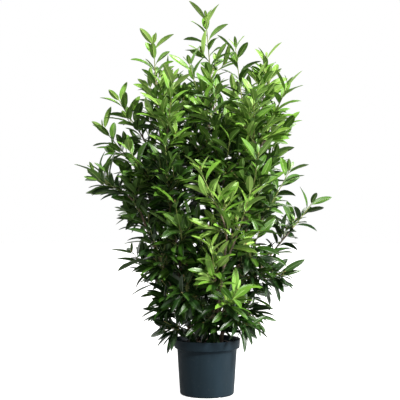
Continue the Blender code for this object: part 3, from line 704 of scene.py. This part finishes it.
def in_hand(pieces):
    """The last of these pieces, or a new one where that is full."""
    if not pieces or pieces[-1].triangles > MOST_TRIANGLES:
        pieces.append(Piece())
    return pieces[-1]


# Materials

def node(tree, kind, **values):
    """A shader node with these input values, or links where the value is a socket."""
    made = tree.nodes.new(kind)
    for key, value in values.items():
        socket = made.inputs[key.replace("_", " ")]
        if isinstance(value, bpy.types.NodeSocket):
            tree.links.new(value, socket)
        else:
            socket.default_value = value
    return made


def blank(name):
    """A new material, its tree, its shader and the places on its object."""
    made = bpy.data.materials.new(name)
    made.use_nodes = True
    tree = made.node_tree
    return made, tree, tree.nodes["Principled BSDF"], tree.nodes.new("ShaderNodeTexCoord").outputs["Object"]


def ramp(tree, value, start, end, low, high):
    """A value that runs from start to end, stretched to run from low to high."""
    limits = {"From_Min": start, "From_Max": end, "To_Min": low, "To_Max": high}
    return node(tree, "ShaderNodeMapRange", Value=value, **limits).outputs["Result"]


def wander(tree, vector, scale, detail, low=0, high=1):
    """Noise of this scale, stretched to run from low to high."""
    grain = node(tree, "ShaderNodeTexNoise", Vector=vector, Scale=scale, Detail=detail)
    return ramp(tree, grain.outputs["Fac"], 0.3, 0.7, low, high)


def blended(tree, share, first, second):
    """Colour between two by a share."""
    mix = tree.nodes.new("ShaderNodeMix")
    mix.data_type = "RGBA"
    tree.links.new(share, mix.inputs["Factor"])
    for socket, value in (("A", first), ("B", second)):
        target = next(s for s in mix.inputs if s.name == socket and s.type == "RGBA")
        if isinstance(value, bpy.types.NodeSocket):
            tree.links.new(value, target)
        else:
            target.default_value = (*value, 1)
    return next(s for s in mix.outputs if s.type == "RGBA")


def finish(tree, shader, colour, roughness, height, strength, distance):
    """Gives a shader its colour, roughness and bump."""
    bump = node(tree, "ShaderNodeBump", Height=height, Strength=strength, Distance=distance)
    for name, value in (("Base Color", colour), ("Roughness", roughness), ("Normal", bump.outputs["Normal"])):
        tree.links.new(value, shader.inputs[name])


def organic(name, dark, light, scale, roughness, grain, depth, coat=0.0):
    """Living or earthy matter: colour that wanders between two, uneven gloss and a fine grain."""
    made, tree, shader, place = blank(name)
    colour = blended(tree, wander(tree, place, scale, 3), dark, light)
    gloss = wander(tree, place, scale * 2.5, 2, roughness - 0.05, roughness + 0.07)
    finish(tree, shader, colour, gloss, wander(tree, place, grain, 3), 0.5, depth)
    for key, value in (("Specular IOR Level", 0.36), ("Coat Weight", coat), ("Coat Roughness", 0.12)):
        shader.inputs[key].default_value = value
    return made


def scaled(colour, share):
    return tuple(c * share for c in colour)


def leaf_materials(shade):
    """The upper face, the rib and the underside of a leaf."""
    parts = (
        ("leaf", shade.above, 0.14, 30, shade.roughness, 500, 0.0003, 0.05),
        ("rib", shade.rib, 0.10, 60, 0.45, 700, 0.0002),
        ("underside", shade.below, 0.10, 35, 0.58, 600, 0.0003),
    )
    return [
        organic(f"{part}_{shade.name}", scaled(colour, 1 - spread), scaled(colour, 1 + spread), *rest)
        for part, colour, spread, *rest in parts
    ]


def bark_material():
    """Reddish brown bark with grey patches and pale lenticels."""
    made, tree, shader, place = blank("bark")
    drawn = node(tree, "ShaderNodeMapping", Vector=place, Scale=(1.0, 1.0, 0.25)).outputs["Vector"]
    streaks = wander(tree, drawn, 120, 4)
    brown = blended(tree, streaks, (0.075, 0.045, 0.028), (0.215, 0.135, 0.085))
    greyed = blended(tree, wander(tree, place, 14, 3, 0, 0.6), brown, (0.20, 0.18, 0.14))
    dots = node(tree, "ShaderNodeTexVoronoi", Vector=place, Scale=190).outputs["Distance"]
    colour = blended(tree, ramp(tree, dots, 0.16, 0.24, 1, 0), greyed, (0.33, 0.25, 0.17))
    finish(tree, shader, colour, wander(tree, place, 60, 2, 0.66, 0.88), streaks, 0.6, 0.0008)
    return made


def plastic_material():
    """Slate blue-grey moulded plastic with a fine grain, faint flow streaks and a little dust."""
    made, tree, shader, place = blank("pot_plastic")
    drawn = node(tree, "ShaderNodeMapping", Vector=place, Scale=(1.0, 1.0, 0.12)).outputs["Vector"]
    flow = wander(tree, drawn, 26, 3)
    base = blended(tree, flow, (0.0083, 0.0154, 0.0210), (0.0110, 0.0200, 0.0276))
    colour = blended(tree, wander(tree, place, 90, 5, -0.30, 0.06), base, (0.08, 0.09, 0.09))
    gloss = wander(tree, place, 35, 3, 0.34, 0.46)
    finish(tree, shader, colour, gloss, wander(tree, place, 1400, 2), 0.25, 0.0002)
    shader.inputs["Specular IOR Level"].default_value = 0.06
    return made


def soil_material():
    """Dark moist peat with lighter fibres."""
    made, tree, shader, place = blank("potting_soil")
    base = blended(tree, wander(tree, place, 180, 5), (0.006, 0.004, 0.003), (0.035, 0.022, 0.014))
    fibre = node(tree, "ShaderNodeTexVoronoi", Vector=place, Scale=420).outputs["Distance"]
    colour = blended(tree, ramp(tree, fibre, 0.05, 0.12, 0.8, 0), base, (0.12, 0.075, 0.04))
    gloss = wander(tree, place, 150, 3, 0.8, 1.0)
    finish(tree, shader, colour, gloss, wander(tree, place, 320, 5), 0.8, 0.0015)
    return made


# The pot and the soil

def lathe(profile, sides):
    """Points and faces of a solid of revolution, from a profile of radii and heights."""
    points = [Vector((0, 0, profile[0][1]))]
    for radius, height in profile[1:-1]:
        points += [around(radius, 2 * math.pi * k / sides, height) for k in range(sides)]
    points.append(Vector((0, 0, profile[-1][1])))
    return points, skin(len(profile) - 2, sides, 1, 0, len(points) - 1)


def body_radius(height):
    """The outer radius of the pot's body at a height."""
    share = (height - FOOT_ROUNDING) / (BAND_FOOT - FOOT_ROUNDING)
    return FOOT_RADIUS + (BODY_TOP_RADIUS - FOOT_RADIUS) * share


def arc(centre, radius, start, end, count):
    """Points of a round corner from one angle to another."""
    angles = [math.radians(start + (end - start) * i / count) for i in range(count + 1)]
    return [(centre[0] + radius * math.cos(a), centre[1] + radius * math.sin(a)) for a in angles]


def pot_profile():
    """The pot's cross-section, from the middle of its underside round the rim to the middle of its floor."""
    lip = WALL / 2
    rows = [BAND_FOOT * i / 8 for i in range(1, 8)]
    return [
        (0, 0),
        (CENTRE_PAD_RADIUS - 0.001, 0),
        (CENTRE_PAD_RADIUS, 0.0003),
        (CENTRE_PAD_RADIUS + RECESS_HEIGHT, RECESS_HEIGHT),
        (FOOT_FLAT - FOOT_RING_WIDTH - RECESS_HEIGHT, RECESS_HEIGHT),
        (FOOT_FLAT - FOOT_RING_WIDTH, 0),
        *arc((FOOT_FLAT, FOOT_ROUNDING), FOOT_ROUNDING, -90, -4, 8),
        *[(body_radius(height), height) for height in rows],
        (BODY_TOP_RADIUS - 0.0002, BAND_FOOT - 0.0060),
        (BODY_TOP_RADIUS + 0.0004, BAND_FOOT - 0.0046),
        (BAND_RADIUS - 0.0016, BAND_FOOT - 0.0004),
        (BAND_RADIUS - 0.0004, BAND_FOOT + 0.0002),
        (BAND_RADIUS, BAND_FOOT + 0.0014),
        (RIM_RADIUS - RIM_BAND_TAPER * 0.45, POT_HEIGHT - 0.0150),
        (RIM_RADIUS - 0.0009, POT_HEIGHT - 0.0042),
        *arc((RIM_RADIUS - lip - 0.0002, POT_HEIGHT - lip - 0.0002), lip, -20, 200, 10),
        (RIM_RADIUS - WALL - 0.0009, POT_HEIGHT - 0.0042),
        (RIM_INSIDE, BAND_FOOT + WALL),
        (BODY_TOP_RADIUS - WALL, BAND_FOOT + WALL - 0.001),
        (body_radius(FLOOR_TOP + FOOT_ROUNDING) - WALL, FLOOR_TOP + FOOT_ROUNDING),
        (FOOT_FLAT, FLOOR_TOP),
        (0, FLOOR_TOP),
    ]


def drill(pot, cutter):
    """Cuts a shape out of the pot for good."""
    hole = pot.modifiers.new("hole", "BOOLEAN")
    hole.operation = "DIFFERENCE"
    hole.object = cutter
    hole.solver = "EXACT"
    bpy.context.view_layer.update()
    whole = bpy.data.meshes.new_from_object(pot.evaluated_get(bpy.context.evaluated_depsgraph_get()))
    pot.modifiers.clear()
    pot.data = whole
    bpy.data.objects.remove(cutter)


def make_pot(material):
    """The moulded pot, with the drain holes in its floor and the notches in its foot."""
    piece = Piece()
    piece.add(*lathe(pot_profile(), POT_SIDES), node="pot")
    pot = piece.make("nursery_pot", [material], "pot_plastic", sharp=POT_SHARP)
    hole_ring = (CENTRE_PAD_RADIUS + FOOT_FLAT - FOOT_RING_WIDTH) / 2
    for i in range(DRAIN_HOLES):
        place = around(hole_ring, 2 * math.pi * (i + 0.5) / DRAIN_HOLES, FLOOR_TOP)
        bpy.ops.mesh.primitive_cylinder_add(vertices=24, radius=DRAIN_HOLE_RADIUS, depth=0.03, location=place)
        drill(pot, bpy.context.object)
    for i in range(DRAIN_NOTCHES):
        turn = 2 * math.pi * (i + 0.32) / DRAIN_NOTCHES
        place = around(FOOT_RADIUS - FOOT_RING_WIDTH / 2, turn, 0)
        bpy.ops.mesh.primitive_cube_add(size=1, location=place, rotation=(0, 0, turn), scale=NOTCH_SIZE)
        drill(pot, bpy.context.object)
    pot.data.set_sharp_from_angle(angle=math.radians(POT_SHARP))


def soil_height(radius):
    """The height of the soil's surface before its relief."""
    sloping = max(0.0, radius - SOIL_FLAT_RADIUS)
    return SOIL_TOP + (SOIL_EDGE - SOIL_TOP) * sloping / (RIM_INSIDE - SOIL_FLAT_RADIUS)


def soil_relief(point):
    """Clods and hollows on the soil."""
    return SOIL_RELIEF * (noise.fractal(point * CLODS, 0.9, 2.1, 4) - 0.3)


def make_soil(material):
    """The soil, a hair's breadth inside the pot, with an uneven top."""
    inset = WALL + 2 * GAP
    edge = BAND_RADIUS - inset - 0.0012
    below = [
        (0, FLOOR_TOP + GAP),
        (FOOT_FLAT - GAP, FLOOR_TOP + GAP),
        (body_radius(FLOOR_TOP + FOOT_ROUNDING) - inset, FLOOR_TOP + FOOT_ROUNDING + GAP),
        (BODY_TOP_RADIUS - inset, BAND_FOOT + WALL + GAP),
        (edge - 0.0006, BAND_FOOT + WALL + GAP),
    ]
    radii = [edge * (1 - i / SOIL_RINGS) for i in range(SOIL_RINGS)]
    above = [(radius, soil_height(radius)) for radius in radii]
    points, faces = lathe(below + above + [(0, SOIL_TOP)], SOIL_SIDES)
    first_above = 1 + (len(below) - 1) * SOIL_SIDES
    for point in points[first_above:]:
        point.z += soil_relief(point)
    piece = Piece()
    piece.add(points, faces, node="soil")
    piece.make("soil_surface", [material], "potting_soil")


def make_crumbs(material):
    """Lumps of peat and chips of bark that lie half sunk in the soil."""
    seed = random.Random("crumbs")
    ball = bmesh.new()
    bmesh.ops.create_icosphere(ball, subdivisions=2, radius=1)
    round_points = [v.co.copy() for v in ball.verts]
    round_faces = [tuple(v.index for v in f.verts) for f in ball.faces]
    ball.free()
    piece = Piece()
    edge = RIM_INSIDE - 0.006
    for i in range(CRUMBS):
        radius, turn = edge * math.sqrt(seed.random()), seed.uniform(0, 2 * math.pi)
        size = 0.0011 + 0.0030 * seed.random() ** 3
        stretch = Vector((seed.uniform(0.8, 1.8), seed.uniform(0.6, 1.1), seed.uniform(0.5, 0.9))) * size
        spin = Matrix.Rotation(seed.uniform(0, 2 * math.pi), 3, "Z")
        spin = spin @ Matrix.Rotation(seed.uniform(-0.5, 0.5), 3, "X")
        place = around(radius, turn, soil_height(radius))
        place.z += soil_relief(place) + size * 0.2
        points = []
        for p in round_points:
            lump = 1 + 0.35 * noise.noise(p * 1.7 + Vector((i, 0, 0)))
            points.append(place + spin @ Vector(a * b * lump for a, b in zip(p, stretch)))
        piece.add(points, round_faces)
    piece.make("soil_crumbs", [material], "potting_soil")


# The plant

def bark_relief(name):
    """Ridges that run along a limb, and the swollen old leaf bases that wind round it."""
    start = random.Random(name).uniform(0, 100)

    def relief(place, turn):
        ridge = noise.noise(around(2.6, turn, start + place * 28))
        fine = noise.noise(around(7, turn, start + place * 110))
        count = round(place / NODE_SPACING)
        apart = (turn - count * GOLDEN_ANGLE + math.pi) % (2 * math.pi) - math.pi
        near = math.exp(-((place - count * NODE_SPACING) / SCAR_LENGTH) ** 2)
        scar = near * (0.05 + 0.24 * math.exp(-(apart / 0.55) ** 2))
        return BARK_RIDGE * ridge + FINE_BARK * fine + scar

    return relief


def make_limbs(material):
    """The stems as one piece and the boughs as another, with the relief of their bark."""
    axes = {}
    stems, boughs = Piece(), Piece()
    for limb in LIMBS:
        axes[limb.name] = grow_limb(limb, axes)
        piece = boughs if limb.parent else stems
        piece.add(*tube(axes[limb.name], LIMB_SIDES, relief=bark_relief(limb.name)), node=limb.name)
    stems.make("stems", [material], "bark")
    boughs.make("boughs", [material], "bark")
    return axes


def swollen(axis):
    """Slight swellings where leaves leave a twig."""

    def relief(place, turn):
        off = (axis.length - place) / LEAF_SPACING - FIRST_LEAF - TIP_CROWDING * 2
        return 0.16 * math.exp(-((off - round(off)) / 0.2) ** 2)

    return relief


def leads(shoot):
    """True for the main shoot of a mass."""
    return shoot.name == shoot.owner


def first_free(twigs, owner, obstacles):
    """The first of these twigs that touches nothing but its owner's, or none."""
    for twig in twigs:
        if not obstacles.touched(*tube(twig, 3, TWIG_CLEARANCE), own=owner):
            obstacles.add(*tube(twig, 3), owner)
            return twig
    return None


def grow_shoots(leaders, spaces, obstacles):
    """Every leader with its side twigs, as far as these find room in their mass's space."""
    shoots = []
    for mass in MASSES:
        leader = Shoot(mass.name, mass.name, mass.name, leaders[mass.name], mass.tone, mass.spread)
        shoots.append(leader)
        for number in range(mass.twigs):
            tries = (grow_twig(mass, leader.axis, number, attempt) for attempt in range(TWIG_TRIES))
            held = (twig for twig in tries if spaces.hold(mass.name, twig.points))
            twig = first_free(held, mass.name, obstacles)
            if twig:
                shoots.append(leader._replace(name=f"{mass.name} {number}", axis=twig))
    return shoots


def grow_sprig(parent, number, share, length, obstacles):
    """A list of the one finer twig that finds room on a leader, twig or limb, or of none."""
    name = f"{parent.name} sprig {number}"
    tries = (
        side_axis(random.Random(f"{name} {i}"), parent.axis, share, turn_of(name, 0, i), length, SPRIG_RADIUS)
        for i in range(SPRIG_TRIES)
    )
    sprig = first_free(tries, parent.owner, obstacles)
    return [parent._replace(name=name, axis=sprig)] if sprig else []


def grow_sprigs(shoots, obstacles):
    """Finer twigs between the leaves of the leaders and twigs, more of them where the mass is wide."""
    found = []
    for shoot in shoots:
        spacing = LEADER_SPRIG_SPACING if leads(shoot) else TWIG_SPRIG_SPACING
        count = max(1, round(shoot.spread / (spacing * (1.5 - 0.6 * shoot.tone))))
        for number in range(count):
            stray = random.Random(f"{shoot.name} sprig {number}").random()
            share = SPRIGS_FROM + TWIGGY_SHARE * (number + stray) / count
            found += grow_sprig(shoot, number, share, shoot.spread * SPRIG_SHARE, obstacles)
    return found


def grow_limb_sprigs(limbs, obstacles):
    """Short leafy twigs along the stems and boughs, above the bare foot."""
    found = []
    for name, axis in limbs.items():
        limb = Shoot(name, name, None, axis, LIMB_SPRIG_TONE, LIMB_SPRIG_LENGTH)
        count = int(axis.length / LIMB_SPRIG_SPACING)
        for number in range(count):
            share = (number + 0.5) / count
            if axis.at(share)[0].z > LIMB_SPRIGS_FROM:
                found += grow_sprig(limb, number, share, LIMB_SPRIG_LENGTH, obstacles)
    return found


def shade_of(tone):
    return SHADES[min(len(SHADES) - 1, max(0, int(tone * len(SHADES))))]


def grow_leaves(shoots, obstacles):
    """The leaves of every shoot, from its tip inwards, but for any that would touch something, by shade."""
    foliage = {shade: [] for shade in SHADES}
    for shoot in shoots:
        spray = shoot.tone + random.Random(f"{shoot.name} tone").gauss(0, SPRAY_SPREAD)
        leafy = shoot.axis.length * (LEADER_LEAFY if leads(shoot) else TWIG_LEAFY)
        for number in itertools.takewhile(lambda n: below_tip(n) < leafy, itertools.count()):
            for attempt in range(LEAF_TRIES):
                leaf = grow_leaf(shoot, number, attempt)
                flat = blade(leaf)
                if not covers_rim(leaf) and not obstacles.touched(*flat):
                    obstacles.add(*flat, "leaf")
                    # A leaf's colour follows its spray's tone, which holds painted light and shade, and
                    # darkens with age.
                    shade = shade_of(spray + AGEING_TONE * (age_of(number) - MIDDLE_AGE))
                    in_hand(foliage[shade]).add(*leaf_mesh(leaf, 2.0 * number + attempt), shoot.node)
                    break
    return foliage


def make_twigs(shoots, bark):
    """The leaders, twigs and sprigs as tubes: brown at the foot of a leader, green where they are young."""
    piece = Piece()
    for shoot in shoots:
        sides = LEADER_SIDES if leads(shoot) else TWIG_SIDES
        points, faces = tube(shoot.axis, sides, relief=swollen(shoot.axis))
        shares = [shoot.axis.shares[min(face) // sides] for face in faces]
        slots = [0 if leads(shoot) and share < BROWN_SHARE else 1 for share in shares]
        piece.add(points, faces, slots, shoot.node)
    green = organic("green_twig", (0.13, 0.17, 0.045), (0.26, 0.27, 0.09), 70, 0.5, 600, 0.0003)
    piece.make("twigs", [bark, green], "foliage")


def make_buds(shoots):
    """A pointed bud at the tip of each shoot."""
    piece = Piece()
    for shoot in shoots:
        foot, direction, radius = shoot.axis.points[-1], shoot.axis.directions[-1], shoot.axis.radii[-1]
        points = [foot + direction * step for step, _ in BUD_OUTLINE]
        piece.add(*tube(Axis(points, [radius * wide for _, wide in BUD_OUTLINE]), 8), node=shoot.node)
    scales = organic("bud_scales", (0.24, 0.20, 0.07), (0.42, 0.30, 0.13), 220, 0.5, 900, 0.0003)
    piece.make("buds", [scales], "foliage")


def make_plant():
    """Limbs, twigs and leaves."""
    bark = bark_material()
    limbs = make_limbs(bark)
    leaders = {mass.name: grow_leader(mass, limbs) for mass in MASSES}
    obstacles = Obstacles()
    obstacles.add(*lathe(pot_profile(), 32), "pot")
    for name, axis in limbs.items():
        obstacles.add(*tube(axis, 6), name)
    for name, axis in leaders.items():
        obstacles.add(*tube(axis, 3), name)
    shoots = grow_shoots(leaders, Spaces(leaders), obstacles)
    shoots += grow_sprigs(shoots, obstacles)
    shoots += grow_limb_sprigs(limbs, obstacles)
    for shade, pieces in grow_leaves(shoots, obstacles).items():
        materials = leaf_materials(shade)
        for i, piece in enumerate(pieces, 1):
            piece.make(f"leaves_{shade.name}_{i}", materials, "foliage", sharp=50)
    make_twigs(shoots, bark)
    make_buds(shoots)


# The studio

def soft_sun(name, place, strength, spread, colour=(1, 1, 1)):
    """A broad even light from a place towards the plant."""
    data = bpy.data.lights.new(name, "SUN")
    data.energy = strength
    data.angle = math.radians(spread)
    data.color = colour
    shown(name, data).rotation_euler = (LIT_POINT - Vector(place)).to_track_quat("-Z", "Y").to_euler()


def as_seen(tree, lighting, seen):
    """One value for the light that something throws, and another for how the camera sees it."""
    eye = tree.nodes.new("ShaderNodeLightPath").outputs["Is Camera Ray"]
    return ramp(tree, eye, 0, 1, lighting, seen)


def make_sky():
    """A white backdrop that lights the plant less than it shows."""
    world = bpy.data.worlds.new("studio")
    world.use_nodes = True
    tree = world.node_tree
    background = tree.nodes["Background"]
    background.inputs["Color"].default_value = (1, 1, 1, 1)
    tree.links.new(as_seen(tree, SKY_LIGHT, 1.0), background.inputs["Strength"])
    bpy.context.scene.world = world


def floor_material():
    """Pale matt paper, lit so evenly that shadows on it are faint. It throws little light at the plant."""
    made, tree, shader, place = blank("studio_floor")
    pale = blended(tree, wander(tree, place, 3, 2), (0.33, 0.33, 0.33), (0.36, 0.36, 0.36))
    tree.links.new(pale, shader.inputs["Base Color"])
    shader.inputs["Roughness"].default_value = 0.9
    shader.inputs["Emission Color"].default_value = (1, 1, 1, 1)
    tree.links.new(as_seen(tree, 0.0, FLOOR_GLOW), shader.inputs["Emission Strength"])
    return made


def make_studio():
    """A pale floor, a white sky, and soft lights from above in front, both sides and behind."""
    mesh = bpy.data.meshes.new("studio_floor")
    turns = [2 * math.pi * k / FLOOR_SIDES for k in range(FLOOR_SIDES)]
    mesh.from_pydata([around(FLOOR_RADIUS, turn, FLOOR_HEIGHT) for turn in turns], [], [range(FLOOR_SIDES)])
    mesh.materials.append(floor_material())
    floor = shown("studio_floor", mesh)
    make_sky()
    soft_sun("key", (1.5, -2.3, 3.6), 7.0, 10, (1.0, 0.99, 0.96))
    soft_sun("front", (-0.8, -4.0, 2.0), 0.4, 40)
    soft_sun("side", (4.0, -0.5, 1.5), 4.4, 20)
    soft_sun("rim", (1.2, 2.6, 3.4), 1.4, 24, (1.0, 0.99, 0.95))
    soft_sun("left_rim", (-3.4, 1.0, 2.4), 0.6, 30, (0.98, 1.0, 0.98))
    soft_sun("back", (-2.6, 3.4, 2.6), 1.3, 50)


def make_camera():
    """The photograph's view: level, a little over four metres from the pot."""
    data = bpy.data.cameras.new("camera")
    data.lens = LENS
    camera = shown("camera", data)
    camera.location = VIEWPOINT
    camera.rotation_euler = (math.radians(90), 0, 0)
    bpy.context.scene.camera = camera


def main():
    make_camera()
    make_studio()
    bpy.context.scene.view_settings.view_transform = "Standard"
    make_pot(plastic_material())
    peat = soil_material()
    make_soil(peat)
    make_crumbs(peat)
    make_plant()


main()
